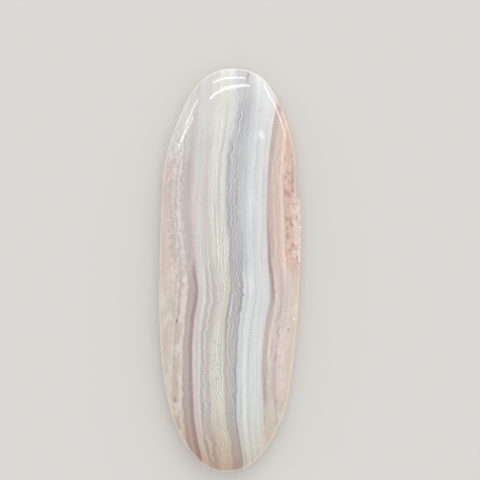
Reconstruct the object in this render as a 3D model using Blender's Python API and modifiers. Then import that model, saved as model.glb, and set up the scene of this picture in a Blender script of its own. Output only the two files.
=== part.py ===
"""A long oval cabochon of banded chalcedony, cut and polished from one piece of stone.

The stone lies on its flat back with the dome up. X runs across it, Y along it and Z up out
of the dome, and the origin is under its middle, on the surface that it rests on. Every
length is in metres.
"""

import bpy
import numpy as np

MM = 0.001

# The stone's size
LENGTH = 46.0 * MM
WIDTH = 15.9 * MM
THICKNESS = 4.8 * MM

# The edge: a narrow ground bevel round the back, then a wall, and above it the dome
BEVEL = 0.30 * MM
WALL_TOP = 1.50 * MM
WALL_LEAN = 0.12 * MM

# How full the oval is: the power of the distance across it, and along it to each end
ACROSS_POWER = 2.2
FAR_END_POWER = 3.0
NEAR_END_POWER = 2.7

# How full the dome is: 1 gives a plain bowl shape, 2 an edge as round as an egg's
DOME_FULLNESS = 1.2

# The oval's reach is found by halving the gap between these two shares, so many times
REACH_BETWEEN = (0.9, 1.5)
HALVINGS = 40

# Where the edge was ground a little proud of the true oval, or short of it: which side,
# how far along, how much, and over what length
UNEVENNESS = (
    ("left", 18.2 * MM, -0.16 * MM, 2.6 * MM),
    ("left", 11.6 * MM, 0.16 * MM, 3.0 * MM),
    ("left", -21.5 * MM, -0.10 * MM, 1.6 * MM),
    ("right", 22.2 * MM, 0.20 * MM, 1.6 * MM),
    ("right", 3.6 * MM, 0.16 * MM, 4.5 * MM),
    ("right", -8.5 * MM, -0.07 * MM, 4.0 * MM),
    ("right", -16.0 * MM, 0.18 * MM, 2.4 * MM),
)

# Where a side and its edge begin and are full, as shares of half the width from the middle
SIDE = (-0.1, 0.5)
SIDE_EDGE = (0.75, 0.95)

# How quickly the swells and the rough edge fade up the dome: a power of the share of the way out
SWELL_REACH = 2
EDGE_REACH = 14

# A natural hollow in the right edge: its sharp ledge, where it is deepest, and its far end
HOLLOW_LEDGE = 8.4 * MM
HOLLOW_DEEPEST = 9.9 * MM
HOLLOW_END = 12.6 * MM
HOLLOW_DEPTH = 0.30 * MM

# Below the ledge the right edge is rough crystal that the polish didn't take
CRUST_START = 0.6 * MM
CRUST_FULL = 1.6 * MM
CRUST_RELIEF = 0.03 * MM
CRUST_LUMPS = (1.9 * MM, 1.2 * MM)
LUMP_SLANT = 0.8

# The mesh: steps round the oval, closer together near the ledge, and rings up the dome
AROUND = 144
DOME_RINGS = 14
CROWDING = 0.6
CROWDED_AT = np.radians(22.0)
SAME_PLACE = 0.01 * MM

CHALCEDONY = (0.56, 0.53, 0.51, 1.0)
POLISH_ROUGHNESS = 0.12
SHARP_EDGE = np.radians(35.0)


def clear_scene():
    for old in list(bpy.data.objects):
        bpy.data.objects.remove(old)


def new_collection(name):
    collection = bpy.data.collections.new(name)
    bpy.context.scene.collection.children.link(collection)
    return collection


def stone_material():
    material = bpy.data.materials.new("banded_chalcedony")
    material.use_nodes = True
    surface = material.node_tree.nodes["Principled BSDF"]
    surface.inputs["Base Color"].default_value = CHALCEDONY
    surface.inputs["Roughness"].default_value = POLISH_ROUGHNESS
    surface.inputs["Metallic"].default_value = 0.0
    return material


def round_profile():
    """Radius and height of a round cabochon of the stone's width, from the top down."""
    radius = WIDTH / 2
    share = np.sin(np.linspace(0.0, np.pi / 2, DOME_RINGS + 1))
    rise = (1.0 - share ** ACROSS_POWER) ** (1.0 / DOME_FULLNESS)
    points = [(radius * s, WALL_TOP + (THICKNESS - WALL_TOP) * h) for s, h in zip(share, rise)]
    points.append((radius - WALL_LEAN / 2, (WALL_TOP + BEVEL) / 2))
    points.append((radius - WALL_LEAN, BEVEL))
    points.append((radius - WALL_LEAN - BEVEL, 0.0))
    points.append((0.0, 0.0))
    return points


def turned_blank(collection):
    """The round cabochon, turned about Z from its profile."""
    corners = [(r, 0.0, z) for r, z in round_profile()]
    links = [(i, i + 1) for i in range(len(corners) - 1)]
    profile = bpy.data.meshes.new("profile")
    profile.from_pydata(corners, links, [])
    blank = bpy.data.objects.new("blank", profile)
    collection.objects.link(blank)
    screw = blank.modifiers.new("turn", "SCREW")
    screw.axis = "Z"
    screw.steps = AROUND
    screw.render_steps = AROUND
    screw.use_merge_vertices = True
    screw.merge_threshold = SAME_PLACE
    bpy.context.view_layer.update()
    turned = blank.evaluated_get(bpy.context.evaluated_depsgraph_get())
    mesh = bpy.data.meshes.new_from_object(turned)
    bpy.data.objects.remove(blank)
    return mesh


def end_power(along):
    return np.where(along > 0.0, FAR_END_POWER, NEAR_END_POWER)


def oval_reach(angle):
    """How far the oval's edge is from its middle at each angle, on a unit-wide, unit-long oval."""
    across = np.abs(np.cos(angle))
    along = np.abs(np.sin(angle))
    power = end_power(np.sin(angle))
    inside = np.full_like(angle, REACH_BETWEEN[0])
    outside = np.full_like(angle, REACH_BETWEEN[1])
    for _ in range(HALVINGS):
        middle = (inside + outside) / 2
        over = (middle * across) ** ACROSS_POWER + (middle * along) ** power > 1.0
        outside = np.where(over, middle, outside)
        inside = np.where(over, inside, middle)
    return inside


def outward(across, along):
    """The unit direction straight out of the edge, at places on the oval."""
    x = np.sign(across) * ACROSS_POWER * np.abs(across) ** (ACROSS_POWER - 1) / (WIDTH / 2)
    power = end_power(along)
    y = np.sign(along) * power * np.abs(along) ** (power - 1) / (LENGTH / 2)
    size = np.maximum(np.hypot(x, y), 1e-9)
    return x / size, y / size


def smooth_step(low, high, value):
    share = np.clip((value - low) / (high - low), 0.0, 1.0)
    return share * share * (3.0 - 2.0 * share)


def unevenness(across, y):
    """How far the hand-ground edge stands out from the true oval."""
    total = np.zeros_like(y)
    for side, place, amount, spread in UNEVENNESS:
        to_side = -across if side == "left" else across
        here = smooth_step(*SIDE, to_side)
        total += here * amount * np.exp(-((y - place) / spread) ** 2)
    return total


def rough_edge(across, y, z):
    """How far the hollow and the crust take the right edge in or out."""
    right = smooth_step(*SIDE_EDGE, across)
    hollow = -HOLLOW_DEPTH * (y > HOLLOW_LEDGE) * smooth_step(HOLLOW_END, HOLLOW_DEEPEST, y)
    crust = smooth_step(CRUST_START, CRUST_FULL, y) * (y <= HOLLOW_LEDGE)
    lumps = np.zeros_like(y)
    for size in CRUST_LUMPS:
        lumps += np.sin(2.0 * np.pi * (y + LUMP_SLANT * z) / size) / len(CRUST_LUMPS)
    return right * (hollow + CRUST_RELIEF * crust * lumps)


def pull_to_oval(mesh):
    """Pull the round blank out to the long oval, and give its edge the unevenness of the stone."""
    count = len(mesh.vertices)
    places = np.empty(count * 3)
    mesh.vertices.foreach_get("co", places)
    x, y, z = places.reshape(count, 3).T
    radius = np.hypot(x, y)
    angle = np.arctan2(y, x)
    angle = angle - CROWDING * (np.sin(angle - CROWDED_AT) + np.sin(CROWDED_AT))

    # On the dome a ring is a share of the oval, and on the wall it stands in from the edge
    half = WIDTH / 2
    dome = z >= WALL_TOP - SAME_PLACE
    back_middle = ~dome & (radius < half / 2)
    share = np.where(dome, np.minimum(radius / half, 1.0), np.where(back_middle, 0.0, 1.0))
    inset = np.where(dome | back_middle, 0.0, half - radius)

    reach = oval_reach(angle)
    edge_across = reach * np.cos(angle)
    edge_along = reach * np.sin(angle)
    out_x, out_y = outward(edge_across, edge_along)
    across = share * edge_across
    along = share * edge_along
    fall = np.abs(across) ** ACROSS_POWER + np.abs(along) ** end_power(along)
    rise = np.maximum(1.0 - fall, 0.0) ** (1.0 / DOME_FULLNESS)

    edge_y = edge_along * LENGTH / 2
    step = unevenness(edge_across, edge_y) * share ** SWELL_REACH
    step += rough_edge(edge_across, edge_y, z) * share ** EDGE_REACH
    step -= inset
    new_x = across * half + out_x * step
    new_y = along * LENGTH / 2 + out_y * step
    new_z = np.where(dome, WALL_TOP + (THICKNESS - WALL_TOP) * rise, z)

    # The middle of the stone's length and width comes to the origin
    new_x -= (new_x.max() + new_x.min()) / 2
    new_y -= (new_y.max() + new_y.min()) / 2
    mesh.vertices.foreach_set("co", np.stack([new_x, new_y, new_z], axis=1).ravel())
    mesh.update()


def build():
    clear_scene()
    stone = new_collection("chalcedony_cabochon")
    mesh = turned_blank(stone)
    mesh.name = "cabochon"
    pull_to_oval(mesh)
    mesh.materials.append(stone_material())
    mesh.shade_smooth()
    mesh.set_sharp_from_angle(angle=SHARP_EDGE)
    cabochon = bpy.data.objects.new("cabochon", mesh)
    stone.objects.link(cabochon)


build()
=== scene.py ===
"""The looks of a long oval cabochon of banded chalcedony: polished, milky and a little translucent.

The stone is one surface, worked out on a fine grid from the same rules as the solid it stands
for. Its bands are sheets that run down through the stone. Lengths are in metres, and in
millimetres where a name or a comment says so.
"""

import bpy
import numpy as np
from mathutils import Matrix, Vector


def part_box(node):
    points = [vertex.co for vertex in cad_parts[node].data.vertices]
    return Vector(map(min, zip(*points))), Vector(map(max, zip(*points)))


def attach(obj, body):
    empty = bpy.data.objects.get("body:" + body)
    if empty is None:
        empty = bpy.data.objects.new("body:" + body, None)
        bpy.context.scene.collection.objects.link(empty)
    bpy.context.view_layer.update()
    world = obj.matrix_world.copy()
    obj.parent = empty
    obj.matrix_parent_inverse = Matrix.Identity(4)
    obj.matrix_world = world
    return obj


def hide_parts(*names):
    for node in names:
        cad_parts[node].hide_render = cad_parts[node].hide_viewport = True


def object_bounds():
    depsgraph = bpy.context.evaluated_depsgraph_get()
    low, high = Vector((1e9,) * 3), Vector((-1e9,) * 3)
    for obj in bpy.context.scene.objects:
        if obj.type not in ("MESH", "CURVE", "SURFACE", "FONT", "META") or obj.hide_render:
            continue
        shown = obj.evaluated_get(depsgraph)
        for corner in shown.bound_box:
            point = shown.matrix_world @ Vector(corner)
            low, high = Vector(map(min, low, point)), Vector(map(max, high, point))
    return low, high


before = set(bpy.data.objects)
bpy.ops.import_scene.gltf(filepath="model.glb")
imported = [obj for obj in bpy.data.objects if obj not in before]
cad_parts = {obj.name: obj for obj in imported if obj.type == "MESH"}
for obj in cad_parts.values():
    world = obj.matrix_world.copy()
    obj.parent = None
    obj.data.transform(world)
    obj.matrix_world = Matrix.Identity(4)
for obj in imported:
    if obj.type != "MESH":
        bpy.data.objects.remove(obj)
cad_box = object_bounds()

MM = 0.001

# The stone's size, and the edge under its dome: a wall, then a narrow ground bevel
LENGTH = 46.0 * MM
WIDTH = 15.9 * MM
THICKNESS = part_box("cabochon")[1].z
BEVEL = 0.30 * MM
WALL_TOP = 1.50 * MM
WALL_LEAN = 0.12 * MM

# How full the oval is, across it and along it to each end, and how full the dome is
ACROSS_POWER = 2.2
FAR_END_POWER = 3.0
NEAR_END_POWER = 2.7
DOME_FULLNESS = 1.2

# The oval's reach is found by halving the gap between these two shares, so many times
REACH_BETWEEN = (0.9, 1.5)
HALVINGS = 40

# Where the edge was ground proud of the true oval, or short of it: side, place, amount, spread
UNEVENNESS = (
    ("left", 18.2 * MM, -0.16 * MM, 2.6 * MM),
    ("left", 11.6 * MM, 0.16 * MM, 3.0 * MM),
    ("left", -21.5 * MM, -0.10 * MM, 1.6 * MM),
    ("right", 22.2 * MM, 0.20 * MM, 1.6 * MM),
    ("right", 3.6 * MM, 0.16 * MM, 4.5 * MM),
    ("right", -8.5 * MM, -0.07 * MM, 4.0 * MM),
    ("right", -16.0 * MM, 0.18 * MM, 2.4 * MM),
)

# Where a side and its edge begin and are full, as shares of half the width from the middle
SIDE = (-0.1, 0.5)
SIDE_EDGE = (0.75, 0.95)

# How quickly the swells and the rough edge fade up the dome: a power of the share of the way out
SWELL_REACH = 2
EDGE_REACH = 14

# The natural hollow in the right edge with its ledge, and the rough crystal below it
HOLLOW_LEDGE = 8.4 * MM
HOLLOW_DEEPEST = 9.9 * MM
HOLLOW_END = 12.6 * MM
HOLLOW_DEPTH = 0.30 * MM
CRUST_START = 0.6 * MM
CRUST_FULL = 1.6 * MM
CRUST_RELIEF = 0.03 * MM
CRUST_LUMPS = (1.9 * MM, 1.2 * MM)
LUMP_SLANT = 0.8

# Crystal faces that break the surface of the hollow and the crust, and how far in they reach,
# as a share of the way out from the middle
CRYSTAL_COUNT = 900
LEAST_CRYSTAL = 0.02
CRYSTAL_TILT = 0.16
CRYSTAL_STEP = 0.016 * MM
CRYSTAL_SEED = 7
CRUST_INNER = 0.85
CRUST_OUTER = 0.92
CRUST_TURN = 0.5 * MM

# The grid: steps round the oval, closer together near the ledge, and rings from top to back
AROUND = 720
DOME_RINGS = 92
BACK_RINGS = 16
EDGE_STEP = 0.07 * MM
BACK_BORDER = 0.40 * MM
CROWDING = 0.6
CROWDED_AT = np.radians(22.0)

# The photograph: its size in pixels, a pixel's size at the height of the stone's widest line,
# where the middle of the stone is in it, and how far the stone's far end leans to the right
PHOTO_PIXELS = 480
PIXEL = 0.1140 * MM
STONE_AT = (230.0, 270.3)
STONE_LEAN = np.radians(1.0)
CAMERA_DISTANCE = 250.0 * MM
LAMP_DISTANCE = 300.0 * MM

# The light all round, and the wide soft patches of more light: azimuth from +Y towards +X and
# elevation of the middle, and reach, in degrees, then the strength added there
SKY = 0.885
SKY_COLOUR = (0.985, 0.995, 1.0, 1.0)
SOFT_LIGHTS = (
    (36, 24, 26, 0.75),
    (-58, 14, 24, 0.35),
    (8, 15, 46, 1.10),
)

# Lines between the bands, as they run down the photograph: where each one is on each row
TRACE_ROWS = (75, 100, 120, 140, 160, 180, 200, 225, 250, 270,
              287, 300, 315, 330, 345, 370, 400, 420, 440, 460)
TRACED_LINES = {
    "lace_to_mauve": (
        197, 193.5, 190, 186.5, 185.5, 183.5, 182.5, 184.5, 187, 187.5,
        190, 188.5, 186.5, 185.5, 184, 183.5, 183.5, 185, 187, 192),
    "mauve_to_pale": (
        202, 198.5, 196, 193.5, 192.5, 192, 192, 193.5, 195.5, 197,
        199, 198.3, 195.3, 194, 193.4, 193, 194, 195, 198.5, 203),
    "left_light_line": (
        213, 211, 209.5, 208.5, 206, 204.5, 204.5, 205, 205, 204.8,
        206.2, 205, 202.5, 201, 200.3, 199.8, 199.5, 200.5, 203.5, 208),
    "cream_left": (
        219, 216.5, 214, 212, 209.5, 208, 208, 209, 211, 215,
        218.5, 219, 216, 213.5, 211, 210.5, 212, 214, 219, 221.5),
    "cream_right": (
        236, 235.5, 232.5, 229.5, 226.8, 226, 226, 226.5, 228.5, 228.5,
        229.5, 227.5, 225, 223.5, 223.5, 223, 224.3, 226, 229.5, 232.5),
    "slate_to_blue": (
        249.5, 250, 247, 244.5, 242, 240.7, 241, 241.5, 242, 242.5,
        243.9, 243.5, 240.7, 239.2, 238.2, 237.7, 237.5, 238, 240.5, 243.5),
    "grey_in_blue": (
        261, 262.5, 260.5, 259, 258, 255.5, 255, 255.3, 255.5, 256.5,
        256.8, 256, 253.3, 251, 250, 249, 248.5, 248.8, 250.5, 253),
    "blue_to_maroon": (
        283, 278.5, 275, 271.5, 269.3, 267.7, 267.3, 267, 267.5, 268.7,
        270.3, 270.5, 267.5, 265, 263, 261.5, 262.5, 264, 266, 268),
    "right_light_line": (
        288, 283, 279, 275.5, 273, 271, 270.5, 271.5, 274, 274.5,
        276.5, 277, 274.5, 271.5, 269.5, 268.5, 270, 271, 273, 275),
    "pink_to_edge": (
        297, 292, 288, 285.5, 284, 282.8, 283.3, 284.8, 285.3, 287.5,
        288.3, 288, 286, 284, 283, 281, 280, 281, 283, 285),
}
WAIST_ROW = 250
ROW_STEP = 0.25
LINE_SMOOTHING = 5
SHEET_DIP = 0.25

# Colours, as red, green and blue from 0 to 255. First those of the far half, left to right
EDGE_TAN = (219, 201, 191)
ROSE_GREY = (213, 193, 187)
LACE_GROUND = (211, 200, 194)
MAUVE = (200, 186, 184)
PALE_GREY = (212, 210, 209)
WARM_GREY = (209, 203, 196)
CREAM = (219, 217, 209)
OLIVE = (211, 210, 201)
GREEN_CREAM = (218, 218, 210)
GREY = (208, 206, 202)
DARK_SLATE = (181, 178, 181)
SLATE = (186, 183, 186)
STEEL = (191, 191, 191)
SILVER = (202, 201, 201)
BLUE_GREY = (209, 209, 209)
BLUE_WHITE = (217, 219, 219)
GREY_LINE = (210, 211, 210)
PEARL = (218, 219, 219)
PINK_WHITE = (219, 212, 209)
MAROON = (197, 179, 171)
TAN = (212, 189, 178)
RED_MAUVE = (217, 193, 183)
LIGHT_TAN = (232, 211, 197)
RED_BROWN = (215, 184, 172)

# Those that only the near half has
OLIVE_TAN = (216, 202, 190)
BEIGE = (218, 204, 194)
BROWN_GREY = (199, 184, 173)
ROSE_MAUVE = (190, 173, 169)
DARK_MAUVE = (178, 157, 155)
LILAC_WHITE = (212, 203, 199)
LIGHT_GREY = (217, 213, 208)
PINK_GREY = (200, 192, 188)
OLIVE_CREAM = (217, 212, 201)
BROWN_MAUVE = (188, 179, 177)
WARM_SLATE = (188, 183, 182)
INK_LINE = (160, 158, 165)
SLATE_SHADE = (164, 161, 166)
TEAL_GREY = (210, 212, 212)
ICE_WHITE = (225, 226, 225)
BROWN = (193, 180, 173)
PALE_PINK = (214, 202, 195)
FADED_MAUVE = (203, 186, 182)
ROSE_TAN = (219, 203, 194)
EDGE_BEIGE = (218, 201, 188)

# The bands from left to right: where each ends, in mm across the stone at its waist, and how
# soft that end is. The far half of the stone differs from the near half
FAR_BANDS = (
    (EDGE_TAN, -6.85, 0.40), (ROSE_GREY, -6.35, 0.40), (LACE_GROUND, -4.98, 0.20),
    (MAUVE, -3.90, 0.60), (PALE_GREY, -3.05, 0.30), (WARM_GREY, -2.05, 0.55),
    (CREAM, -1.12, 0.24), (OLIVE, -0.82, 0.16), (GREEN_CREAM, -0.38, 0.24), (GREY, -0.14, 0.22),
    (DARK_SLATE, 0.26, 0.22), (SLATE, 1.25, 0.35), (STEEL, 1.62, 0.35), (SILVER, 2.00, 0.30),
    (BLUE_GREY, 2.25, 0.20), (BLUE_WHITE, 2.64, 0.16), (GREY_LINE, 2.96, 0.20),
    (PEARL, 3.70, 0.26), (PINK_WHITE, 4.22, 0.20), (MAROON, 4.90, 0.26), (TAN, 5.22, 0.22),
    (RED_MAUVE, 5.96, 0.18), (LIGHT_TAN, 6.28, 0.20), (RED_BROWN, 9.50, 0.20),
)
NEAR_BANDS = (
    (OLIVE_TAN, -6.75, 0.35), (BEIGE, -6.15, 0.25), (BROWN_GREY, -5.62, 0.30),
    (BEIGE, -5.02, 0.20), (ROSE_MAUVE, -4.40, 0.14), (DARK_MAUVE, -4.02, 0.14),
    (LILAC_WHITE, -3.18, 0.12), (LIGHT_GREY, -2.84, 0.10), (PINK_GREY, -2.22, 0.14),
    (OLIVE_CREAM, -0.78, 0.16), (OLIVE, -0.12, 0.16), (BROWN_MAUVE, 0.20, 0.12),
    (WARM_SLATE, 1.10, 0.14), (SLATE_SHADE, 1.26, 0.10), (TEAL_GREY, 2.02, 0.20),
    (ICE_WHITE, 2.66, 0.12), (GREY_LINE, 3.00, 0.12), (PEARL, 3.96, 0.20),
    (PINK_WHITE, 4.26, 0.12), (BROWN, 4.84, 0.12), (PALE_PINK, 5.24, 0.14),
    (FADED_MAUVE, 5.86, 0.20), (ROSE_TAN, 6.60, 0.30), (EDGE_BEIGE, 9.50, 0.30),
)
STOPS_IN_RAMP = 30

# Where the far half's bands give way to the near half's, in mm along, and how raggedly
HALVES_MEET = (-1.6, 1.2)
HALVES_RAGGED = 4.0

# How lively the thin lines meander, by mm across the stone at its waist
LIVELINESS = (
    (-7.0, 0.3), (-6.2, 0.9), (-5.0, 1.0), (-4.3, 0.35), (-3.9, 0.15), (-3.1, 0.15), (-2.6, 0.5),
    (-0.4, 0.9), (0.1, 0.8), (0.8, 1.35), (1.6, 0.6), (2.2, 0.15), (4.0, 0.15), (4.6, 0.4),
    (5.4, 0.5), (6.2, 0.4), (6.6, 1.0),
)
MEANDER = 0.76
SLOW_MEANDER = 0.15
BROAD_SHARE = 0.3

# Faults that cross the stone, where the thin lines jog: y of the middle and reach, in mm
FAULTS = ((-2.3, 1.1), (-13.9, 1.0))
FAULT_JOG = 1.8

# Thin lines and streaks within the bands: colour, place across at the far and the near end, y of
# those ends, half the width, and strength. Lengths are in mm, and a place is one at the waist
WHITE_LINE = (229, 226, 221)
SILVER_LINE = (221, 220, 223)
OLIVE_SHADE = (184, 179, 165)
CREAM_LINE = (236, 233, 223)
ROSE_LINE = (224, 208, 204)
WINE = (160, 136, 136)
PLUM = (156, 134, 136)
RED_SHADE = (192, 158, 153)
BROWN_SHADE = (176, 160, 149)
# Painted sheen: a pale grey veil of reflected light on the far left shoulder
PAINTED_SHEEN = (215, 214, 210)
PURPLE_GREY = (150, 143, 155)
BEIGE_LINE = (203, 192, 180)
FOOT_PALE = (216, 211, 201)
STREAKS = (
    # Painted sheen over the far left shoulder
    (PAINTED_SHEEN, (-6.10, -5.80), (22.8, 12.6), 1.35, 0.82),
    (PALE_PINK, (-3.60, -3.55), (9.6, 5.2), 0.50, 0.50),
    (ROSE_MAUVE, (-5.08, -5.16), (15.6, 1.6), 0.08, 0.50),
    (WHITE_LINE, (-5.34, -5.40), (16.0, 2.6), 0.07, 0.55),
    (WHITE_LINE, (-6.00, -5.92), (15.0, 9.6), 0.08, 0.45),
    (PALE_GREY, (-4.50, -4.50), (22.8, 17.6), 0.45, 0.55),
    (GREEN_CREAM, (-2.55, -2.50), (22.0, 15.2), 0.45, 0.65),
    (GREEN_CREAM, (-1.05, -1.08), (22.9, 14.6), 0.34, 0.80),
    (PEARL, (-0.10, 0.04), (22.9, 14.8), 0.24, 0.70),
    (SILVER, (0.64, 0.66), (22.9, 19.2), 0.58, 0.65),
    (PURPLE_GREY, (1.12, 1.10), (22.9, 21.4), 0.11, 0.70),
    (SILVER_LINE, (0.86, 0.46), (18.8, 13.9), 0.06, 0.65),
    (SLATE_SHADE, (1.10, 0.66), (18.8, 13.9), 0.08, 0.55),
    (SLATE_SHADE, (0.64, 0.26), (18.8, 13.9), 0.07, 0.50),
    (SILVER_LINE, (0.42, 0.32), (13.7, 8.0), 0.055, 0.70),
    (SILVER_LINE, (0.34, 0.36), (7.6, 0.8), 0.05, 0.50),
    (SLATE_SHADE, (0.94, 0.90), (13.0, 1.0), 0.07, 0.55),
    (SLATE_SHADE, (1.40, 1.34), (4.6, 0.4), 0.07, 0.60),
    (OLIVE_SHADE, (-1.00, -1.00), (15.0, 6.4), 0.05, 0.40),
    (OLIVE_SHADE, (-0.84, -0.86), (19.0, 7.4), 0.05, 0.30),
    (BEIGE_LINE, (-1.34, -1.66), (7.8, 0.2), 0.16, 0.45),
    (BEIGE_LINE, (-0.98, -1.30), (5.4, 0.2), 0.07, 0.60),
    (BEIGE_LINE, (-0.68, -1.00), (4.8, 0.0), 0.06, 0.60),
    (CREAM_LINE, (-1.14, -1.46), (5.6, 0.4), 0.05, 0.85),
    (CREAM_LINE, (-0.82, -1.14), (5.4, 0.2), 0.05, 0.85),
    (CREAM_LINE, (-0.50, -0.86), (4.6, 0.0), 0.05, 0.85),
    (CREAM_LINE, (-0.20, -0.64), (4.2, 0.4), 0.05, 0.90),
    (CREAM_LINE, (0.02, -0.40), (4.2, 0.8), 0.05, 0.80),
    (LIGHT_TAN, (6.06, 6.08), (12.2, 0.4), 0.09, 0.75),
    (ROSE_LINE, (5.26, 4.99), (3.5, 0.8), 0.05, 0.80),
    (ROSE_LINE, (4.99, 4.94), (0.8, -3.6), 0.06, 0.90),
    (WINE, (4.46, 4.48), (5.4, 0.4), 0.16, 0.40),
    (WINE, (4.50, 4.70), (0.9, -3.4), 0.14, 0.68),
    (RED_SHADE, (4.44, 4.44), (18.0, 15.4), 0.18, 0.50),
    (BROWN_SHADE, (4.55, 4.50), (14.8, 13.2), 0.24, 0.45),
    (LIGHT_TAN, (6.30, 6.42), (14.6, 11.0), 0.20, 0.50),
    (PLUM, (-4.22, -4.20), (0.6, -21.8), 0.17, 0.34),
    (BROWN_SHADE, (-4.88, -4.86), (-2.0, -19.0), 0.08, 0.35),
    (ROSE_MAUVE, (-2.72, -2.74), (0.8, -21.8), 0.05, 0.55),
    (WHITE_LINE, (-2.56, -2.58), (1.0, -14.6), 0.04, 0.45),
    (BROWN_MAUVE, (-2.42, -2.42), (0.8, -14.6), 0.05, 0.45),
    (SILVER_LINE, (-2.20, -2.16), (-0.8, -4.6), 0.05, 0.60),
    (BROWN_MAUVE, (-2.06, -2.02), (-0.8, -4.6), 0.06, 0.50),
    (SILVER_LINE, (-1.92, -1.86), (-0.6, -4.2), 0.05, 0.60),
    (CREAM_LINE, (-1.62, -1.52), (-6.6, -13.6), 0.05, 0.75),
    (CREAM_LINE, (-1.18, -1.14), (-6.0, -14.4), 0.06, 0.80),
    (CREAM_LINE, (-0.86, -0.86), (-6.8, -13.8), 0.05, 0.65),
    (CREAM_LINE, (-1.30, -0.94), (-12.8, -19.6), 0.09, 0.80),
    (CREAM_LINE, (-0.72, -0.20), (-15.0, -19.4), 0.05, 0.65),
    (OLIVE_SHADE, (-0.62, -0.66), (-1.0, -13.0), 0.07, 0.55),
    (BROWN_SHADE, (0.06, 0.06), (-2.2, -14.6), 0.08, 0.35),
    (SILVER_LINE, (0.22, 0.30), (-1.6, -6.4), 0.05, 0.75),
    (SILVER_LINE, (0.28, 0.28), (-6.2, -14.6), 0.045, 0.50),
    (PINK_GREY, (0.34, 0.02), (-14.6, -18.0), 0.045, 0.70),
    (INK_LINE, (1.20, 1.18), (1.4, -18.4), 0.10, 0.50),
    (ROSE_LINE, (4.98, 5.04), (-3.4, -16.8), 0.06, 0.55),
    (FADED_MAUVE, (5.60, 5.60), (1.0, -14.4), 0.16, 0.55),
    (ROSE_MAUVE, (5.76, 5.74), (-4.6, -10.8), 0.05, 0.50),
    (ROSE_LINE, (-6.40, -6.42), (0.4, -4.0), 0.07, 0.70),
    (BROWN_SHADE, (-5.90, -5.86), (-0.2, -5.0), 0.07, 0.75),
    (ROSE_LINE, (-5.34, -5.30), (-1.6, -10.4), 0.06, 0.55),
    (BROWN_SHADE, (-5.80, -5.60), (-12.4, -18.6), 0.10, 0.40),
    (FOOT_PALE, (4.75, 4.60), (-15.2, -22.9), 0.75, 0.75),
)

# Sets of close parallel lines: from and to across at the waist and along, in mm, how many lines
# to a millimetre, the lines' colour, how strong they are, and how much light the gaps lose
LINE_SETS = (
    (-2.20, -0.30, -22.5, 2.0, 2.6, CREAM_LINE, 0.60, 0.24),
    (-2.30, -1.10, 2.0, 21.5, 2.3, CREAM_LINE, 0.35, 0.10),
    (-3.00, -1.90, -22.9, -14.0, 2.3, CREAM_LINE, 0.40, 0.14),
    (-3.90, -3.05, -20.0, 20.0, 2.2, WHITE_LINE, 0.18, 0.06),
    (-0.10, 1.15, -22.0, 20.0, 2.7, SILVER_LINE, 0.44, 0.19),
    (1.40, 4.00, -21.0, 21.0, 1.5, WHITE_LINE, 0.11, 0.05),
    (4.30, 6.20, -18.0, 14.0, 1.7, ROSE_LINE, 0.34, 0.12),
    (-6.80, -4.95, -17.0, -0.8, 1.9, ROSE_LINE, 0.45, 0.14),
)

# Small marks: colour, x and y of the middle, half the width, half the length, and strength
DARK_BROWN = (138, 108, 99)
WHITE_AND_GLINT = (252, 250, 244)
MAGENTA = (196, 160, 176)
SPOTS = (
    (DARK_BROWN, (-5.88, -5.80), 0.11, 0.32, 0.75),
    (PLUM, (-6.00, -14.80), 0.14, 0.36, 0.60),
    (DARK_BROWN, (6.74, -6.58), 0.13, 0.09, 0.85),
    # Painted glint: a sparkle of light on a crystal near the right edge
    (WHITE_AND_GLINT, (7.36, -5.38), 0.11, 0.13, 0.95),
    (WHITE_AND_GLINT, (3.28, -14.45), 0.09, 0.09, 0.60),
    (MAGENTA, (5.52, -14.85), 0.26, 0.42, 0.50),
    (WINE, (5.44, 18.60), 0.24, 0.50, 0.55),
    (ROSE_MAUVE, (-6.62, 2.40), 0.17, 0.55, 0.70),
    (STEEL, (-4.80, 3.00), 0.14, 0.30, 0.55),
    (BROWN_SHADE, (-4.62, 1.50), 0.12, 0.55, 0.55),
)

# Where the sides of streaks and spots begin to fade and are gone, as shares of half their width,
# how softly a streak ends lengthways, and how deep the spots go under the dome, in mm
STREAK_SIDES = (0.4, 1.7)
STREAK_END = 0.8
SPOT_SIDES = (0.5, 1.3)
SPOT_DEPTH = 0.6

# Noises: waves in a millimetre across, along and down, how many finer layers are added to them,
# and how strong each layer is against the one before it
NOISES = {
    "meander": ((0.45, 1.2, 1.0), 1.5, 0.5),
    "jog": ((0.7, 1.9, 1.0), 1.0, 0.5),
    "sway": ((0.35, 0.22, 0.3), 1.0, 0.5),
    "ragged meeting": ((1.6, 0.25, 0.2), 1.0, 0.5),
    "broad growth": ((2.2, 0.10, 0.2), 1.0, 0.5),
    "thin growth": ((5.5, 0.16, 0.3), 2.0, 0.65),
    "drift": ((0.55, 0.30, 0.3), 2.0, 0.5),
    "faint stretches": ((1.2, 0.35, 0.5), 1.0, 0.5),
    "lace": ((1.5, 1.0, 1.0), 3.0, 0.6),
    "torn sides": ((1.4, 1.6, 1.0), 1.0, 0.5),
    "broken lace": ((1.1, 1.4, 1.0), 2.0, 0.5),
    "blotches": ((0.85, 0.50, 0.6), 3.0, 0.6),
    "mottle": ((1.7, 1.2, 1.6), 3.0, 0.6),
    "crystal faces": ((1.3, 1.1, 1.2), 2.0, 0.5),
    "pits": ((1.9, 1.4, 1.9), 2.0, 0.6),
    "clouds": ((0.30, 0.16, 0.3), 2.0, 0.5),
    "fibres": ((1.3, 5.5, 2.0), 2.0, 0.6),
    "grain": ((7.0, 7.0, 7.0), 2.0, 0.7),
}

# How strongly each of the finest noises makes the stone lighter and darker
GROWTH_LIGHT = (("thin growth", 0.34), ("broad growth", 0.16))
FIBRE_LIGHT = 0.16
CLOUD_LIGHT = 0.12
GRAIN_LIGHT = 0.12

# Below, ACROSS and ALONG say where a pattern is: from, to, and how soft the ends are, in mm. What
# fades has two values of what it fades by, and its strength at the one and at the other

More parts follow.
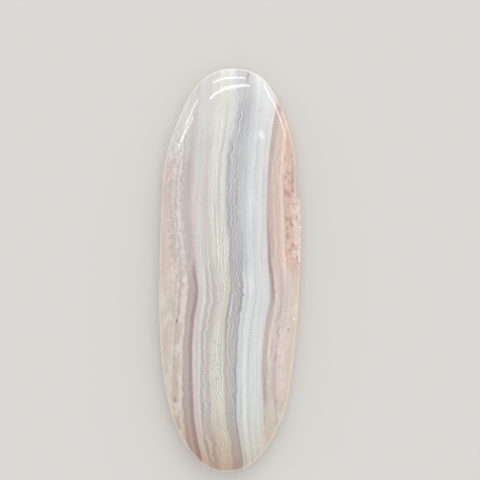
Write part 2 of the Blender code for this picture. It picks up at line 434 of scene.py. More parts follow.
# The sets of close lines: how many lines they drift by, how soft a set's sides and ends are, and
# where a line fades out and a gap fades in. 0 is a line's middle and 0.5 is a gap's
SET_DRIFT = 2.6
SET_SOFT = (0.2, 2.5)
SET_LINE = (0.06, 0.20)
SET_GAP = (0.28, 0.46)
SET_FAINT = (-0.14, 0.14, 0.25, 1.0)

# The lace: its lines are the contours of bumps on a slope, and its sides are torn
LACE_LINE = (230, 223, 217)
LACE_SHADE = (188, 175, 168)
LACE_ACROSS = (-6.85, -4.92, 0.16)
LACE_ALONG = (-1.8, 16.5, 2.6)
LACE_TEAR = 1.1
LACE_BUMPS = 3.4
LACE_SLOPE = 1.5
LACE_LINE_FADE = (0.05, 0.19, 1.0, 0.0)
LACE_GAP_FADE = (0.26, 0.44, 0.0, 0.50)
LACE_BROKEN = (-0.12, 0.12, 0.20, 0.72)

# The blotches along the near half's two margins
BLOTCH_LIGHT = (226, 217, 208)
BLOTCH_DARK = (203, 191, 174)
LEFT_MARGIN = (-5.4, -4.9, 1.0, 0.0)
RIGHT_MARGIN = (4.3, 6.0, 0.0, 0.65)
MARGINS_ALONG = (-21.0, -0.4, 4.0)
LIGHT_BLOTCHES = (0.0, 0.16, 0.0, 0.80)
DARK_BLOTCHES = (-0.16, 0.0, 0.60, 0.0)

# The beads in the cream band, and the fibres across the slate and the blue band: their cells in a
# millimetre across, along and down, and how unevenly the cells lie
CELL_UNEVENNESS = 0.9
BEAD_CELLS = (3.0, 1.5, 1.0)
BEADS_ACROSS = (-2.15, -0.72, 0.2)
BEADS_ALONG = (-13.2, -7.2, 1.6)
BEAD_FADE = (0.12, 0.48, 0.6, 0.0)
COMB_CELLS = (2.4, 4.4, 1.0)
COMB_ACROSS = (0.55, 2.30, 0.6)
COMB_ALONG = (2.0, 17.5, 3.0)
COMB_FADE = (0.02, 0.22, 0.30, 0.0)

# The sugary right edge: its darker and lighter crystals, and how ragged it is across and along
SUGAR_SHADE = (184, 148, 136)
SUGAR_LIGHT = (230, 212, 201)
SUGAR_ACROSS = (6.42, 9.9, 0.12)
SUGAR_ALONG = (0.2, 14.0, 1.2)
SUGAR_RAGGED = (0.5, 2.0)
DARK_SUGAR = (0.00, 0.12, 0.0, 0.75)
PALE_SUGAR = (-0.18, -0.04, 0.70, 0.0)

# The crust: its cream crystal, how its faces vary it and where it is full, and the dark pits
CRUST_CREAM = (230, 213, 199)
PIT = (158, 142, 130)
CRUST_ALONG = (CRUST_START / MM, HOLLOW_LEDGE / MM, 0.2)
CRUST_FACES = 3.6
CRUST_FADE = (0.62, 1.12, 0.0, 0.9)
CRUST_WITHIN = (0.05, 0.55)
PIT_FADE = (0.05, 0.20, 0.0, 0.70)

# Painted warm shade on the near end: mm along, and its shares of red, green and blue there, for
# the redder left side and for the right side, and where across the one gives way to the other
FOOT_PAINTED_SHADE = (
    (-23.0, (0.82, 0.63, 0.49), (0.83, 0.72, 0.57)),
    (-19.8, (0.93, 0.80, 0.72), (0.94, 0.89, 0.79)),
    (-16.4, (0.96, 0.94, 0.90), (0.95, 0.95, 0.91)),
    (-13.5, (1.00, 1.00, 1.00), (1.00, 1.00, 1.00)),
)
FOOT_SHADE_SIDES = (0.9, 1.8)

# Painted light on the rim, which makes the thin edge lighter and warmer: its colour, how it fades, and
# how far it reaches in
RIM_PAINTED_LIGHT = (240, 228, 217)
RIM_PAINTED_GLOW = (0.0, 1.0, 0.0, 0.55)
RIM_REACH = 0.35 * MM

# The polish and how much rougher the crystal is, and the light that the stone lets in
POLISH_ROUGHNESS = 0.06
CRYSTAL_ROUGHNESS = 0.35
REFRACTION = 1.54
LIGHT_LET_IN = 0.25
LIGHT_REACH = 1.2 * MM
REACH_BY_COLOUR = (1.0, 0.8, 0.65)

FLOOR_COLOUR = (218, 215, 210)
FLOOR_ROUGHNESS = 0.8
FLOOR_HALF = 1.5

# Narrow lamps behind the polish's highlights: the pixels of the photograph that the reflection
# runs between, how many pixels wide it is, and how strong the lamp is
LAMPS = (
    ("far_end_wide", (210, 99), (248, 86), 2.7, 25.0),
    ("far_end_thin", (213, 83), (245, 79), 1.4, 34.0),
    ("left_shoulder_thin", (198, 99), (185, 124), 0.9, 20.0),
    ("left_shoulder", (191, 118), (182, 139), 0.9, 22.0),
    ("right_shoulder", (265, 88), (286, 137), 1.2, 19.0),
    ("right_small", (260, 136), (266, 138), 4.0, 11.0),
)

# A line of sight is followed down to the dome in so many rounds. The slope is over so small a step
SIGHT_ROUNDS = 4
SLOPE_STEP = 0.002 * MM


def smooth_step(low, high, value):
    share = np.clip((value - low) / (high - low), 0.0, 1.0)
    return share * share * (3.0 - 2.0 * share)


def end_power(along):
    return np.where(along > 0.0, FAR_END_POWER, NEAR_END_POWER)


def oval_reach(angle):
    """How far the edge is from the middle at each angle, where half the width and length count as 1.

    It is the r at which |r cos a| to one power and |r sin a| to another add up to 1, found by
    halving the gap between a value inside the oval and one outside."""
    across = np.abs(np.cos(angle))
    along = np.abs(np.sin(angle))
    power = end_power(np.sin(angle))
    inside = np.full_like(angle, REACH_BETWEEN[0])
    outside = np.full_like(angle, REACH_BETWEEN[1])
    for _ in range(HALVINGS):
        middle = (inside + outside) / 2
        over = (middle * across) ** ACROSS_POWER + (middle * along) ** power > 1.0
        outside = np.where(over, middle, outside)
        inside = np.where(over, inside, middle)
    return inside


def outward(across, along):
    """The unit direction straight out of the edge: the slope of the oval's own rule."""
    x = np.sign(across) * ACROSS_POWER * np.abs(across) ** (ACROSS_POWER - 1) / (WIDTH / 2)
    power = end_power(along)
    y = np.sign(along) * power * np.abs(along) ** (power - 1) / (LENGTH / 2)
    size = np.maximum(np.hypot(x, y), 1e-9)
    return x / size, y / size


def unevenness(across, y):
    """How far the hand-ground edge stands out of the true oval: a sum of low, round swells."""
    total = np.zeros_like(y)
    for side, place, amount, spread in UNEVENNESS:
        to_side = -across if side == "left" else across
        here = smooth_step(*SIDE, to_side)
        total = total + here * amount * np.exp(-((y - place) / spread) ** 2)
    return total


def hollow_share(across, y):
    """1 in the hollow's deepest part, falling to 0 at its far end, and 0 at once past its ledge."""
    right = smooth_step(*SIDE_EDGE, across)
    return right * (y > HOLLOW_LEDGE) * smooth_step(HOLLOW_END, HOLLOW_DEEPEST, y)


def crust_share(across, y):
    """1 along the rough stretch of the right edge, and 0 elsewhere."""
    right = smooth_step(*SIDE_EDGE, across)
    return right * smooth_step(CRUST_START, CRUST_FULL, y) * (y <= HOLLOW_LEDGE)


def rough_edge(across, y, z):
    """How far the hollow takes the right edge in, and how the crust's two sine waves ripple it."""
    lumps = np.zeros_like(y + z)
    for size in CRUST_LUMPS:
        lumps = lumps + np.sin(2.0 * np.pi * (y + LUMP_SLANT * z) / size) / len(CRUST_LUMPS)
    return CRUST_RELIEF * crust_share(across, y) * lumps - HOLLOW_DEPTH * hollow_share(across, y)


def dome_height(across, along):
    """Height over the oval: what is left of 1 after both powers, to one over the dome's fullness."""
    fall = np.abs(across) ** ACROSS_POWER + np.abs(along) ** end_power(along)
    rise = np.maximum(1.0 - fall, 0.0) ** (1.0 / DOME_FULLNESS)
    return WALL_TOP + (THICKNESS - WALL_TOP) * rise


def height_over(x, y):
    return dome_height(x / (WIDTH / 2), y / (LENGTH / 2))


def edge_path():
    """Inset and height down the wall, round the bevel and a little way in under the back.

    The corners of a straight-sided path are rounded by a running mean over its close steps."""
    corners = np.array([(0.0, WALL_TOP), (WALL_LEAN, BEVEL), (WALL_LEAN + BEVEL, 0.0),
                        (WALL_LEAN + BEVEL + BACK_BORDER, 0.0)])
    run = np.concatenate([[0.0], np.cumsum(np.hypot(*np.diff(corners, axis=0).T))])
    steps = np.linspace(0.0, run[-1], int(run[-1] / EDGE_STEP) + 1)
    inset = np.interp(steps, run, corners[:, 0])
    height = np.interp(steps, run, corners[:, 1])
    for path in (inset, height):
        path[1:-1] = (path[:-2] + path[1:-1] + path[2:]) / 3
    return inset[1:], height[1:]


def crystal_relief(points, share):
    """Flat crystal faces: each point lies on the tilted plane of the nearest of many seeds."""
    rough = share > LEAST_CRYSTAL
    relief = np.zeros(len(points))
    spots = points[rough]
    random = np.random.default_rng(CRYSTAL_SEED)
    seeds = random.uniform(spots.min(axis=0), spots.max(axis=0), (CRYSTAL_COUNT, 3))
    tilts = random.normal(0.0, CRYSTAL_TILT, (CRYSTAL_COUNT, 3))
    steps = random.uniform(-CRYSTAL_STEP, CRYSTAL_STEP, CRYSTAL_COUNT)
    gaps = ((spots[:, None, :] - seeds[None, :, :]) ** 2).sum(axis=2)
    nearest = gaps.argmin(axis=1)
    relief[rough] = steps[nearest] + ((spots - seeds[nearest]) * tilts[nearest]).sum(axis=1)
    return relief * share


def traced_lines():
    """Each band line's place on every quarter pixel of the photograph's height, gently smoothed."""
    rows = np.arange(0.0, PHOTO_PIXELS, ROW_STEP)
    weights = np.hanning(int(LINE_SMOOTHING / ROW_STEP) + 3)
    weights = weights / weights.sum()
    reach = len(weights) // 2
    lines = []
    for places in TRACED_LINES.values():
        line = np.interp(rows, TRACE_ROWS, places)
        padded = np.pad(line, reach, mode="edge")
        lines.append(np.convolve(padded, weights, mode="valid"))
    return rows, np.array(lines)


def from_photo(column, row):
    """The place that the photograph shows at a pixel, on the level of the top of the wall."""
    right = (column - STONE_AT[0]) * PIXEL
    up = (STONE_AT[1] - row) * PIXEL
    x = right * np.cos(STONE_LEAN) - up * np.sin(STONE_LEAN)
    y = right * np.sin(STONE_LEAN) + up * np.cos(STONE_LEAN)
    return x, y


CAMERA_AT = Vector((*from_photo(PHOTO_PIXELS / 2, PHOTO_PIXELS / 2), WALL_TOP + CAMERA_DISTANCE))


def to_photo(x, y, height):
    """Where the photograph shows a place on the stone, in pixels. What is nearer is larger."""
    nearer = CAMERA_DISTANCE / (CAMERA_AT.z - height)
    x = CAMERA_AT.x + (x - CAMERA_AT.x) * nearer
    y = CAMERA_AT.y + (y - CAMERA_AT.y) * nearer
    right = x * np.cos(STONE_LEAN) + y * np.sin(STONE_LEAN)
    up = y * np.cos(STONE_LEAN) - x * np.sin(STONE_LEAN)
    return STONE_AT[0] + right / PIXEL, STONE_AT[1] - up / PIXEL


def band_place(x, y, height):
    """Which band a place is in, as mm across the stone at its waist.

    Between two traced lines the place keeps its share of the gap. Past the first and the last
    line it keeps its distance from them."""
    rows, lines = traced_lines()
    column, row = to_photo(x, y, height)
    here = np.array([np.interp(row, rows, line) for line in lines])
    waist = np.array([np.interp(WAIST_ROW, rows, line) for line in lines])
    place = waist[0] + (column - here[0])
    for left, right, at_left, at_right in zip(here[:-1], here[1:], waist[:-1], waist[1:]):
        share = (column - left) / (right - left)
        place = np.where(column > left, at_left + share * (at_right - at_left), place)
    place = np.where(column > here[-1], waist[-1] + (column - here[-1]), place)
    return (place - STONE_AT[0]) * PIXEL / MM


def stone_surface():
    """Rings by steps of points, from the top of the dome over the edge to under the back.

    A dome point is a share of the way out to the oval's edge, an edge point stands in from it,
    and a back point is a share of the way out to the last edge point."""
    turn = np.arange(AROUND) * 2.0 * np.pi / AROUND
    angle = turn - CROWDING * (np.sin(turn - CROWDED_AT) + np.sin(CROWDED_AT))
    reach = oval_reach(angle)
    edge_across = reach * np.cos(angle)
    edge_along = reach * np.sin(angle)
    out_x, out_y = outward(edge_across, edge_along)
    edge_x = edge_across * WIDTH / 2
    edge_y = edge_along * LENGTH / 2
    swell = unevenness(edge_across, edge_y)

    share = np.sin(np.linspace(0.0, np.pi / 2, DOME_RINGS + 1))[1:, None]
    dome_z = dome_height(share * edge_across, share * edge_along)
    step = swell * share ** SWELL_REACH + rough_edge(edge_across, edge_y, dome_z) * share ** EDGE_REACH
    dome = np.stack([share * edge_across * WIDTH / 2 + out_x * step,
                     share * edge_along * LENGTH / 2 + out_y * step, dome_z], axis=2)

    inset, height = (path[:, None] for path in edge_path())
    step = swell + rough_edge(edge_across, edge_y, height) - inset
    edge = np.stack([edge_x + out_x * step, edge_y + out_y * step,
                     np.broadcast_to(height, step.shape)], axis=2)

    inwards = 1.0 - np.linspace(0.0, 1.0, BACK_RINGS + 1)[1:-1, None, None] ** 2
    back = edge[-1] * inwards
    rings = np.concatenate([dome, edge, back])

    # The middle of the stone's length and width comes to the origin
    middle = (rings.max(axis=(0, 1)) + rings.min(axis=(0, 1))) / 2
    rings[:, :, :2] -= middle[:2]

    # How far out each ring is, from the middle to the outline and back under the stone
    outwards = np.concatenate([share, np.ones_like(height), inwards[:, :, 0]])
    to_edge = edge_x * out_x + edge_y * out_y
    rim = np.clip(1.0 - (1.0 - outwards) * to_edge / RIM_REACH, 0.0, 1.0)
    rough = hollow_share(edge_across, edge_y) + crust_share(edge_across, edge_y)
    rough = rough * smooth_step(CRUST_INNER, CRUST_OUTER, outwards) * (rings[:, :, 2] > BEVEL)
    return rings, rough, rim, out_x, out_y


def grid_faces(rings):
    """Four-sided faces between neighbouring rings, and a fan of three-sided ones to each pole."""
    ring = np.arange(rings - 1)[:, None] * AROUND
    step = np.arange(AROUND)[None, :]
    following = (step + 1) % AROUND
    quads = np.stack([ring + step, ring + AROUND + step, ring + AROUND + following, ring + following],
                     axis=2).reshape(-1, 4)
    top = rings * AROUND
    first = np.stack([np.full(AROUND, top), step[0], following[0]], axis=1)
    last_ring = (rings - 1) * AROUND
    last = np.stack([np.full(AROUND, top + 1), last_ring + following[0], last_ring + step[0]], axis=1)
    return quads.tolist() + first.tolist() + last.tolist()


def stone_mesh():
    """The stone's mesh, with what its material reads at each point: the band, the roughness and
    how near the rim it is."""
    rings, rough, rim, out_x, out_y = stone_surface()
    count = rings.shape[0]
    points = rings.reshape(-1, 3)
    relief = crystal_relief(points, rough.ravel())
    # On the dome the crystal faces rise and sink, and on the wall they come out and go in
    upright = smooth_step(WALL_TOP, WALL_TOP + CRUST_TURN, points[:, 2])
    sideways = np.tile(np.stack([out_x, out_y], axis=1), (count, 1))
    points[:, :2] += sideways * (relief * (1.0 - upright))[:, None]
    points[:, 2] += relief * upright
    # The relief never takes the stone past its own edge
    limit = np.array([abs(cad_box[0].x), abs(cad_box[0].y)])
    points[:, :2] = np.clip(points[:, :2], -limit, limit)

    poles = np.array([(0.0, 0.0, THICKNESS), (0.0, 0.0, 0.0)])
    points = np.concatenate([points, poles])
    above = height_over(points[:, 0], points[:, 1])
    depth = np.maximum(above - points[:, 2], 0.0)
    band = band_place(points[:, 0] + SHEET_DIP * depth, points[:, 1], above)

    mesh = bpy.data.meshes.new("cabochon_stone")
    mesh.from_pydata(points.tolist(), [], grid_faces(count))
    for name, values in (("band", band), ("rough", rough.ravel()), ("rim", rim.ravel())):
        # 0 at the two poles
        values = np.pad(values, (0, len(points) - len(values)))
        layer = mesh.attributes.new(name, "FLOAT", "POINT")
        layer.data.foreach_set("value", values.astype(np.float32))
    mesh.shade_smooth()
    mesh.update()
    return mesh


def linear(colour):
    """Red, green and blue from 0 to 255, as a shader colour: the usual curve of a screen undone."""
    light = np.array(colour) / 255.0
    light = np.where(light <= 0.04045, light / 12.92, ((light + 0.055) / 1.055) ** 2.4)
    return (*light.tolist(), 1.0)


class Graph:
    """The nodes of a material or of the world, with one method for each kind of node used here.

    The renderer shows a material black when it has more than about a thousand nodes like these."""

    def __init__(self, owner, last="Principled BSDF"):
        owner.use_nodes = True
        self.tree = owner.node_tree
        self.last = self.tree.nodes[last]

    def put(self, socket, value):
        if isinstance(value, bpy.types.NodeSocket):
            self.tree.links.new(value, socket)
        else:
            socket.default_value = value

    def node(self, kind, values, **settings):
        made = self.tree.nodes.new(kind)
        for name, setting in settings.items():
            setattr(made, name, setting)
        for name, value in values.items():
            self.put(made.inputs[name], value)
        return made

    def finish(self, name, value):
        self.put(self.last.inputs[name], value)

    def attribute(self, name):
        return self.node("ShaderNodeAttribute", {}, attribute_name=name).outputs["Fac"]

    def maths(self, operation, first, second=0.0, third=0.0):
        values = {0: first, 1: second, 2: third}
        return self.node("ShaderNodeMath", values, operation=operation).outputs[0]

    def times(self, first, second):
        return self.maths("MULTIPLY", first, second)

    def add(self, value, times, more):
        """The value times a number, and something more."""
        return self.maths("MULTIPLY_ADD", value, times, more)

    def apart(self, value, middle):
        """How far the value is from a middle, whichever way."""
        return self.maths("ABSOLUTE", self.maths("SUBTRACT", value, middle))

    def vector(self, x, y, z):
        return self.node("ShaderNodeCombineXYZ", {"X": x, "Y": y, "Z": z}).outputs[0]

    def stretch(self, vector, scale):
        values = {0: vector, 1: scale}
        return self.node("ShaderNodeVectorMath", values, operation="MULTIPLY").outputs[0]

    def shaded(self, colour, share):
        """The colour made lighter or darker: times a share of its light."""
        values = {"Color": colour, "Value": share}
        return self.node("ShaderNodeHueSaturation", values).outputs["Color"]

    def span(self, value, low, high, to_low=0.0, to_high=1.0, kind="SMOOTHSTEP"):
        """The value's way from low to high, held between the two ends, and eased or straight."""
        values = {"Value": value, "From Min": low, "From Max": high,
                  "To Min": to_low, "To Max": to_high}
        return self.node("ShaderNodeMapRange", values, interpolation_type=kind).outputs[0]

    def between(self, value, low, high, soft):
        """1 between low and high, and 0 outside them, with ends that are so soft."""
        rise = self.span(value, low - soft / 2, low + soft / 2)
        return self.times(rise, self.span(value, high - soft / 2, high + soft / 2, 1.0, 0.0))

    def zone(self, place, across, along, lengthways):
        """1 in a patch of the stone, and 0 outside it: between two places across and two along."""
        return self.times(self.between(place, *across), self.between(along, *lengthways))

    def noise(self, vector, kind):
        """One of the noises, from about -0.5 to 0.5."""
        waves, detail, roughness = NOISES[kind]
        values = {"Vector": self.stretch(vector, waves), "Scale": 1.0,
                  "Detail": detail, "Roughness": roughness}
        return self.maths("SUBTRACT", self.node("ShaderNodeTexNoise", values).outputs["Fac"], 0.5)

    def cells(self, vector, scale, feature):
        """Distance to the wall of the cell that a place is in, or to its middle, in cells."""
        values = {"Vector": self.stretch(vector, scale), "Scale": 1.0, "Randomness": CELL_UNEVENNESS}
        return self.node("ShaderNodeTexVoronoi", values, feature=feature).outputs["Distance"]

    def blend(self, share, first, second, kind="MIX"):
        made = self.node("ShaderNodeMix", {}, data_type="RGBA", blend_type=kind)
        colours = [socket for socket in made.inputs if socket.type == "RGBA"]
        self.put(made.inputs[0], share)
        self.put(colours[0], first)
        self.put(colours[1], second)
        return next(socket for socket in made.outputs if socket.type == "RGBA")

    def tinted(self, colour, tint, share, zone=None):
        """The colour with a tint over it: so strong a share of it, and only in the zone."""
        if zone is not None:
            share = self.times(share, zone)
        return self.blend(share, colour, linear(tint))

    def ramp(self, value, stops):
        """A colour for each value, from stops that each have a value and a colour."""
        low, high = stops[0][0], stops[-1][0]
        made = self.node("ShaderNodeValToRGB", {"Fac": self.span(value, low, high, kind="LINEAR")})
        elements = made.color_ramp.elements
        for _ in stops[2:]:
            elements.new(1.0)
        for element, (at, colour) in zip(elements, stops):
            element.position = (at - low) / (high - low)
            element.color = (*colour[:3], 1.0)
        return made.outputs["Color"]


def banded(graph, place, bands):
    """One colour for each band, with soft ends, from as many colour ramps as their stops need."""
    stops = []
    for (colour, end, soft), (following, _, _) in zip(bands[:-1], bands[1:]):
        stops.append((end - soft / 2, linear(colour)))
        stops.append((end + soft / 2, linear(following)))
    colour = graph.ramp(place, stops[:STOPS_IN_RAMP])
    for start in range(STOPS_IN_RAMP, len(stops), STOPS_IN_RAMP):
        part = stops[start:start + STOPS_IN_RAMP]
        past = graph.maths("GREATER_THAN", place, part[0][0])
        colour = graph.blend(past, colour, graph.ramp(place, part))
    return colour


def meandered(graph, band, where, along):
    """The band place as the broad bands follow it, and as the livelier thin lines do.

    Both sway slowly. The thin lines meander closely too, more at the faults that cross the stone."""
    lively = graph.ramp(band, [(at, (much,) * 3) for at, much in LIVELINESS])
    flow = graph.vector(band, along, 0.0)
    close = graph.noise(flow, "meander")
    jog = graph.noise(flow, "jog")
    for middle, reach in FAULTS:
        fault = graph.span(graph.apart(along, middle), 0.0, reach, FAULT_JOG, 0.0)
        close = graph.add(jog, fault, close)
    fine = graph.times(close, graph.times(lively, MEANDER))
    swayed = graph.add(graph.noise(where, "sway"), SLOW_MEANDER, band)
    return graph.add(fine, BROAD_SHARE, swayed), graph.maths("ADD", swayed, fine)


def base_bands(graph, place, where, along):
    """The broad bands of both halves, which give way to each other raggedly, band by band."""
    ragged = graph.add(graph.noise(where, "ragged meeting"), HALVES_RAGGED, along)
    far = banded(graph, place, FAR_BANDS)
    near = banded(graph, place, NEAR_BANDS)
    return graph.blend(graph.span(ragged, *HALVES_MEET), near, far)


def streaked(graph, colour, place, along):
    """The thin lines and streaks, each along a straight way between its two ends."""
    full, gone = STREAK_SIDES
    for tint, (far_place, near_place), (far_end, near_end), half_width, strength in STREAKS:
        slope = (far_place - near_place) / (far_end - near_end)
        path = graph.add(along, -slope, place)
        off = graph.apart(path, far_place - slope * far_end)
        across = graph.span(off, full * half_width, gone * half_width, 1.0, 0.0)
        middle, half = (far_end + near_end) / 2, (far_end - near_end) / 2
        off = graph.apart(along, middle)
        lengthways = graph.span(off, half - STREAK_END, half + STREAK_END, strength, 0.0)
        colour = graph.tinted(colour, tint, across, lengthways)
    return colour


def growth_lines(graph, colour, flow):
    """The finest bands: long thin lines, a little lighter or darker than what they run in."""
    share = 1.0
    for kind, strength in GROWTH_LIGHT:
        share = graph.add(graph.noise(flow, kind), strength, share)
    return graph.shaded(colour, share)


def parallel_lines(graph, colour, lively, flow, along):
    """Sets of close light lines with shaded gaps, which part and join as a noise shifts them."""
    drift = graph.noise(flow, "drift")
    faint = graph.span(graph.noise(flow, "faint stretches"), *SET_FAINT)
    side_soft, end_soft = SET_SOFT
    for low, high, near_end, far_end, number, tint, light, dark in LINE_SETS:
        count = graph.add(drift, SET_DRIFT, graph.times(lively, number))
        apart = graph.maths("PINGPONG", count, 0.5)
        zone = graph.zone(lively, (low, high, side_soft), along, (near_end, far_end, end_soft))
        zone = graph.times(zone, faint)
        gaps = graph.times(graph.span(apart, *SET_GAP, 0.0, dark), zone)
        colour = graph.shaded(colour, graph.add(gaps, -1.0, 1.0))
        colour = graph.tinted(colour, tint, graph.span(apart, *SET_LINE, light, 0.0), zone)
    return colour


def blotched_margin(graph, colour, where, place, along):
    """Cloudy blotches along the near half's two margins, some whitish and some olive."""
    blotches = graph.noise(where, "blotches")
    margins = graph.maths("ADD", graph.span(place, *LEFT_MARGIN), graph.span(place, *RIGHT_MARGIN))
    zone = graph.times(margins, graph.between(along, *MARGINS_ALONG))
    colour = graph.tinted(colour, BLOTCH_LIGHT, graph.span(blotches, *LIGHT_BLOTCHES), zone)
    return graph.tinted(colour, BLOTCH_DARK, graph.span(blotches, *DARK_BLOTCHES), zone)


def chain_pattern(graph, colour, flow, place, along):
    """Dark beads in a light net in the cream band: the middles of long staggered cells."""
    beads = graph.cells(flow, BEAD_CELLS, "F1")
    zone = graph.zone(place, BEADS_ACROSS, along, BEADS_ALONG)
    return graph.tinted(colour, OLIVE_SHADE, graph.span(beads, *BEAD_FADE), zone)


def combed_pattern(graph, colour, flow, place, along):
    """Close cells across the slate and the blue band, as the fibres of the stone show in them."""
    walls = graph.cells(flow, COMB_CELLS, "DISTANCE_TO_EDGE")
    zone = graph.zone(place, COMB_ACROSS, along, COMB_ALONG)
    return graph.tinted(colour, SILVER_LINE, graph.span(walls, *COMB_FADE), zone)


def lace(graph, colour, place, flow, along):
    """Lace at the left: light lines along the contours of a noise, which close in loops."""
    bumps = graph.noise(graph.vector(place, along, 0.0), "lace")
    heights = graph.add(bumps, LACE_BUMPS, graph.times(place, LACE_SLOPE))
    apart = graph.maths("PINGPONG", heights, 0.5)
    torn = graph.add(graph.noise(flow, "torn sides"), LACE_TEAR, place)
    zone = graph.zone(torn, LACE_ACROSS, along, LACE_ALONG)
    colour = graph.tinted(colour, LACE_SHADE, graph.span(apart, *LACE_GAP_FADE), zone)
    broken = graph.span(graph.noise(flow, "broken lace"), *LACE_BROKEN)
    return graph.tinted(colour, LACE_LINE, graph.span(apart, *LACE_LINE_FADE), graph.times(zone, broken))


def sugary_edge(graph, colour, where, place, along, rough):
    """The right edge of the far half: red-brown sugary crystal, and cream crystal in the crust."""
    mottle = graph.noise(where, "mottle")
    ragged_across, ragged_along = SUGAR_RAGGED
    zone = graph.zone(graph.add(mottle, ragged_across, place), SUGAR_ACROSS,
                      graph.add(mottle, ragged_along, along), SUGAR_ALONG)
    colour = graph.tinted(colour, SUGAR_SHADE, graph.span(mottle, *DARK_SUGAR), zone)
    colour = graph.tinted(colour, SUGAR_LIGHT, graph.span(mottle, *PALE_SUGAR), zone)
    crust = graph.times(rough, graph.between(along, *CRUST_ALONG))
    faces = graph.add(graph.noise(where, "crystal faces"), CRUST_FACES, crust)
    colour = graph.tinted(colour, CRUST_CREAM, graph.span(faces, *CRUST_FADE),
                          graph.span(crust, *CRUST_WITHIN))
    return graph.tinted(colour, PIT, graph.span(graph.noise(where, "pits"), *PIT_FADE), rough)


def spotted(graph, colour, x, y, height):
    """The small marks, each a soft round or oval patch that ends under the skin of the dome. One is a
    painted glint.
    """
    full, gone = SPOT_SIDES
    skin = graph.span(height, WALL_TOP / MM - SPOT_DEPTH, WALL_TOP / MM)
    for tint, (middle_x, middle_y), half_width, half_length, strength in SPOTS:
        right = graph.maths("DIVIDE", graph.maths("SUBTRACT", x, middle_x), half_width)
        up = graph.maths("DIVIDE", graph.maths("SUBTRACT", y, middle_y), half_length)
        far = graph.node("ShaderNodeVectorMath", {0: graph.vector(right, up, 0.0)},
                         operation="LENGTH").outputs["Value"]
        colour = graph.tinted(colour, tint, graph.span(far, full, gone, strength, 0.0), skin)
    return colour


def milky_grain(graph, colour, flow, where):
    """Clouds, fibres across the bands and a fine grain, all faint."""
    share = graph.add(graph.noise(where, "grain"), GRAIN_LIGHT, 1.0)
    share = graph.add(graph.noise(flow, "fibres"), FIBRE_LIGHT, share)
    return graph.shaded(colour, graph.add(graph.noise(where, "clouds"), CLOUD_LIGHT, share))


def painted_shade_at_foot(graph, colour, place, along):
    """Painted warm shade on the near end: darker and warmer than the rest, and redder at its left."""
    left = graph.ramp(along, [(at, shares) for at, shares, _ in FOOT_PAINTED_SHADE])
    right = graph.ramp(along, [(at, shares) for at, _, shares in FOOT_PAINTED_SHADE])
    painted_shade = graph.blend(graph.span(place, *FOOT_SHADE_SIDES), left, right)
    return graph.blend(1.0, colour, painted_shade, "MULTIPLY")


def painted_rim_light(graph, colour, rim):
    """Painted light on the thin edge of the stone, making it lighter and warmer where light would come
    through.
    """
    return graph.tinted(colour, RIM_PAINTED_LIGHT, graph.span(rim, *RIM_PAINTED_GLOW))


def chalcedony():
    """Milky banded chalcedony under a high polish."""
    material = bpy.data.materials.new("banded_chalcedony")
    graph = Graph(material)
    band, rough, rim = (graph.attribute(name) for name in ("band", "rough", "rim"))
    coordinates = graph.node("ShaderNodeTexCoord", {}).outputs["Object"]
    where = graph.stretch(coordinates, (1.0 / MM,) * 3)
    x, along, height = graph.node("ShaderNodeSeparateXYZ", {"Vector": where}).outputs

    place, lively = meandered(graph, band, where, along)
    flow = graph.vector(place, along, height)
    colour = base_bands(graph, place, where, along)
    # The streaks include a painted sheen on the far left shoulder
    colour = streaked(graph, colour, lively, along)
    colour = growth_lines(graph, colour, flow)
    colour = parallel_lines(graph, colour, lively, flow, along)
    colour = blotched_margin(graph, colour, where, place, along)
    colour = chain_pattern(graph, colour, flow, place, along)
    colour = combed_pattern(graph, colour, flow, place, along)
    colour = lace(graph, colour, place, flow, along)
    colour = sugary_edge(graph, colour, where, place, along, rough)
    # The spots include a painted glint
    colour = spotted(graph, colour, x, along, height)
    colour = milky_grain(graph, colour, flow, where)
    # Painted warm shade on the near end
    colour = painted_shade_at_foot(graph, colour, place, along)
    # Painted light on the rim
    colour = painted_rim_light(graph, colour, rim)

    graph.finish("Base Color", colour)
    graph.finish("Roughness", graph.add(rough, CRYSTAL_ROUGHNESS, POLISH_ROUGHNESS))
    graph.finish("IOR", REFRACTION)
    graph.finish("Subsurface Weight", LIGHT_LET_IN)
    graph.finish("Subsurface Radius", REACH_BY_COLOUR)
    graph.finish("Subsurface Scale", LIGHT_REACH)
    return material


def placed(name, data):
    made = bpy.data.objects.new(name, data)
    bpy.context.scene.collection.objects.link(made)
    return made


def build_stone():
    stone = placed("cabochon_stone", stone_mesh())
    stone.data.materials.append(chalcedony())
    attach(stone, "root")
    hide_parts("cabochon")


def build_floor():
    """A plain pale floor under the stone."""
    half = FLOOR_HALF
    corners = [(-half, -half, 0), (half, -half, 0), (half, half, 0), (-half, half, 0)]
    mesh = bpy.data.meshes.new("floor")
    mesh.from_pydata(corners, [], [(0, 1, 2, 3)])
    floor = placed("floor", mesh)
    material = bpy.data.materials.new("pale_floor")
    graph = Graph(material)
    graph.finish("Base Color", linear(FLOOR_COLOUR))
    graph.finish("Roughness", FLOOR_ROUGHNESS)
    mesh.materials.append(material)


def dome_point(column, row):
    """The point of the dome that the photograph shows at a pixel, and the dome's outward direction.

    The line of sight is followed down to the height of the dome, which is found in a few rounds."""
    flat_x, flat_y = from_photo(column, row)
    height = WALL_TOP
    for _ in range(SIGHT_ROUNDS):
        share = (CAMERA_AT.z - height) / CAMERA_DISTANCE
        x = CAMERA_AT.x + (flat_x - CAMERA_AT.x) * share
        y = CAMERA_AT.y + (flat_y - CAMERA_AT.y) * share
        height = height_over(x, y)
    slope_x = (height_over(x + SLOPE_STEP, y) - height) / SLOPE_STEP
    slope_y = (height_over(x, y + SLOPE_STEP) - height) / SLOPE_STEP
    return Vector((x, y, height)), Vector((-slope_x, -slope_y, 1.0)).normalized()


def mirrored(column, row):
    """The place from which light reaches the camera by way of the dome at that pixel."""
    point, normal = dome_point(column, row)
    to_camera = (CAMERA_AT - point).normalized()
    return point + (2.0 * normal.dot(to_camera) * normal - to_camera) * LAMP_DISTANCE


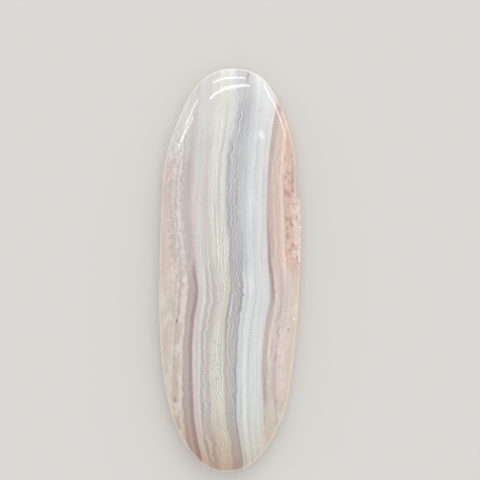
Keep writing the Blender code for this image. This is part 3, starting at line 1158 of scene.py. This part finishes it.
def strip_lamp(name, start, end, pixels_wide, strength):
    """A long narrow lamp whose reflection runs between two pixels of the photograph."""
    first, last = mirrored(*start), mirrored(*end)
    run = np.subtract(end, start)
    aside = np.array([-run[1], run[0]]) / np.hypot(*run) * pixels_wide / 2
    halfway = np.add(start, end) / 2
    lamp = bpy.data.lights.new(name, "AREA")
    lamp.shape = "RECTANGLE"
    lamp.size = (last - first).length
    lamp.size_y = (mirrored(*(halfway + aside)) - mirrored(*(halfway - aside))).length
    lamp.energy = strength * lamp.size * lamp.size_y
    lamp_object = placed(name, lamp)
    lamp_object.visible_diffuse = False
    middle = (first + last) / 2
    along = (last - first).normalized()
    side = middle.cross(along).normalized()
    back = along.cross(side).normalized()
    turn = Matrix((along, side, back)).transposed().to_4x4()
    lamp_object.matrix_world = Matrix.Translation(middle) @ turn


def soft_sky(graph):
    """The strength of the light from each direction: even, and more from a few wide soft patches.

    A patch falls off smoothly with the cosine of the angle from its middle."""
    direction = graph.node("ShaderNodeTexCoord", {}).outputs["Generated"]
    total = SKY
    for azimuth, elevation, reach, strength in SOFT_LIGHTS:
        azimuth, elevation, reach = np.radians((azimuth, elevation, reach))
        level = np.cos(elevation)
        middle = (np.sin(azimuth) * level, np.cos(azimuth) * level, np.sin(elevation))
        near = graph.node("ShaderNodeVectorMath", {0: direction, 1: middle}, operation="DOT_PRODUCT")
        patch = graph.span(near.outputs["Value"], np.cos(reach), 1.0, 0.0, strength)
        total = graph.maths("ADD", patch, total)
    return total


def build_lights():
    world = bpy.data.worlds.new("studio")
    bpy.context.scene.world = world
    graph = Graph(world, "Background")
    graph.finish("Color", SKY_COLOUR)
    graph.finish("Strength", soft_sky(graph))
    for lamp in LAMPS:
        strip_lamp(*lamp)


def build_camera():
    """A camera straight above, that shows the stone where the photograph does."""
    camera = bpy.data.cameras.new("camera")
    camera.sensor_fit = "HORIZONTAL"
    camera.sensor_width = 36.0
    view_width = PHOTO_PIXELS * PIXEL
    camera.lens = camera.sensor_width * CAMERA_DISTANCE / view_width
    camera.clip_start = 0.01
    camera_object = placed("camera", camera)
    camera_object.matrix_world = Matrix.Translation(CAMERA_AT) @ Matrix.Rotation(STONE_LEAN, 4, "Z")
    bpy.context.scene.camera = camera_object


bpy.context.scene.view_settings.view_transform = "Standard"
build_stone()
build_floor()
build_lights()
build_camera()
